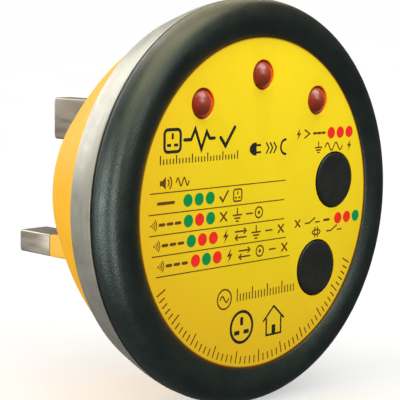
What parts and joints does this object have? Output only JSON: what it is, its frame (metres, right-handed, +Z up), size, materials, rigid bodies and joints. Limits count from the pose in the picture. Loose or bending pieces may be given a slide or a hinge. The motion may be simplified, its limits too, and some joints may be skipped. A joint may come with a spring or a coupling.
{
  "type": "outlet tester plug",
  "caption": "Round plug-in tester for a three-pin wall socket: yellow face with red lamps and black push buttons, rubber bumper, sleeved pins behind.",
  "frame": {"origin": "centre of the face that meets the socket, on the plug's vertical centre line, midway between the line and neutral pins", "axes": "+Y along the pins into the socket, -Y out of the label face, +Z up towards the earth pin, +X towards the line pin"},
  "size_m": [0.069, 0.0552, 0.069],
  "materials": {
    "yellow_housing": "satin moulded",
    "silver_plastic": "satin silver grey",
    "black_rubber": "matt, fine grain",
    "printed_label": "printed film, satin",
    "red_lens": "clear red lens",
    "button_plastic": "matt",
    "pin_metal": "nickel plated, polished",
    "sleeve_plastic": "moulded",
    "circuit_board": "solder mask",
    "black_epoxy": "moulded",
    "natural_nylon": "moulded",
    "screw_steel": "zinc plated",
    "film_capacitor": "moulded box",
    "capacitor_sleeve": "shrunk sleeve",
    "varistor_coat": "dipped",
    "resistor_coat": "lacquered",
    "fuse_body": "moulded",
    "green_insulation": "extruded",
    "blue_insulation": "extruded",
    "brown_insulation": "extruded"
  },
  "bodies": {
    "housing": {"rear_housing": "yellow_housing", "front_housing": "silver_plastic", "rubber_bumper": "black_rubber", "face_label": "printed_label", "led_left": "red_lens", "led_centre": "red_lens", "led_right": "red_lens", "earth_pin": "pin_metal", "neutral_pin": "pin_metal", "line_pin": "pin_metal", "neutral_sleeve": "sleeve_plastic", "line_sleeve": "sleeve_plastic", "main_pcb": "circuit_board", "microcontroller": "black_epoxy", "trip_triac": "black_epoxy", "bridge_rectifier": "black_epoxy", "buzzer": "black_epoxy", "earth_volts_switch_body": "black_epoxy", "rcd_switch_body": "black_epoxy", "pin_retainer": "natural_nylon", "led_spacer_left": "natural_nylon", "led_spacer_centre": "natural_nylon", "led_spacer_right": "natural_nylon", "housing_screw_1": "screw_steel", "housing_screw_2": "screw_steel", "housing_screw_3": "screw_steel", "retainer_screw_1": "screw_steel", "retainer_screw_2": "screw_steel", "pcb_screw_1": "screw_steel", "pcb_screw_2": "screw_steel", "pcb_screw_3": "screw_steel", "mains_capacitor": "film_capacitor", "smoothing_capacitor": "capacitor_sleeve", "varistor": "varistor_coat", "load_resistor_1": "resistor_coat", "load_resistor_2": "resistor_coat", "fuse_link": "fuse_body", "earth_lead": "green_insulation", "neutral_lead": "blue_insulation", "line_lead": "brown_insulation"},
    "earth_volts_button": {"earth_volts_button": "button_plastic", "earth_volts_switch_plunger": "natural_nylon"},
    "rcd_button": {"rcd_button": "button_plastic", "rcd_switch_plunger": "natural_nylon"}
  },
  "joints": [
    {"name": "earth_volts_press", "type": "slide", "parent": "housing", "child": "earth_volts_button", "axis": [0, 1, 0], "range_m": [0, 0.001], "stiffness_N_per_m": 800, "springref_m": -0.001},
    {"name": "rcd_press", "type": "slide", "parent": "housing", "child": "rcd_button", "axis": [0, 1, 0], "range_m": [0, 0.001], "stiffness_N_per_m": 800, "springref_m": -0.001}
  ]
}
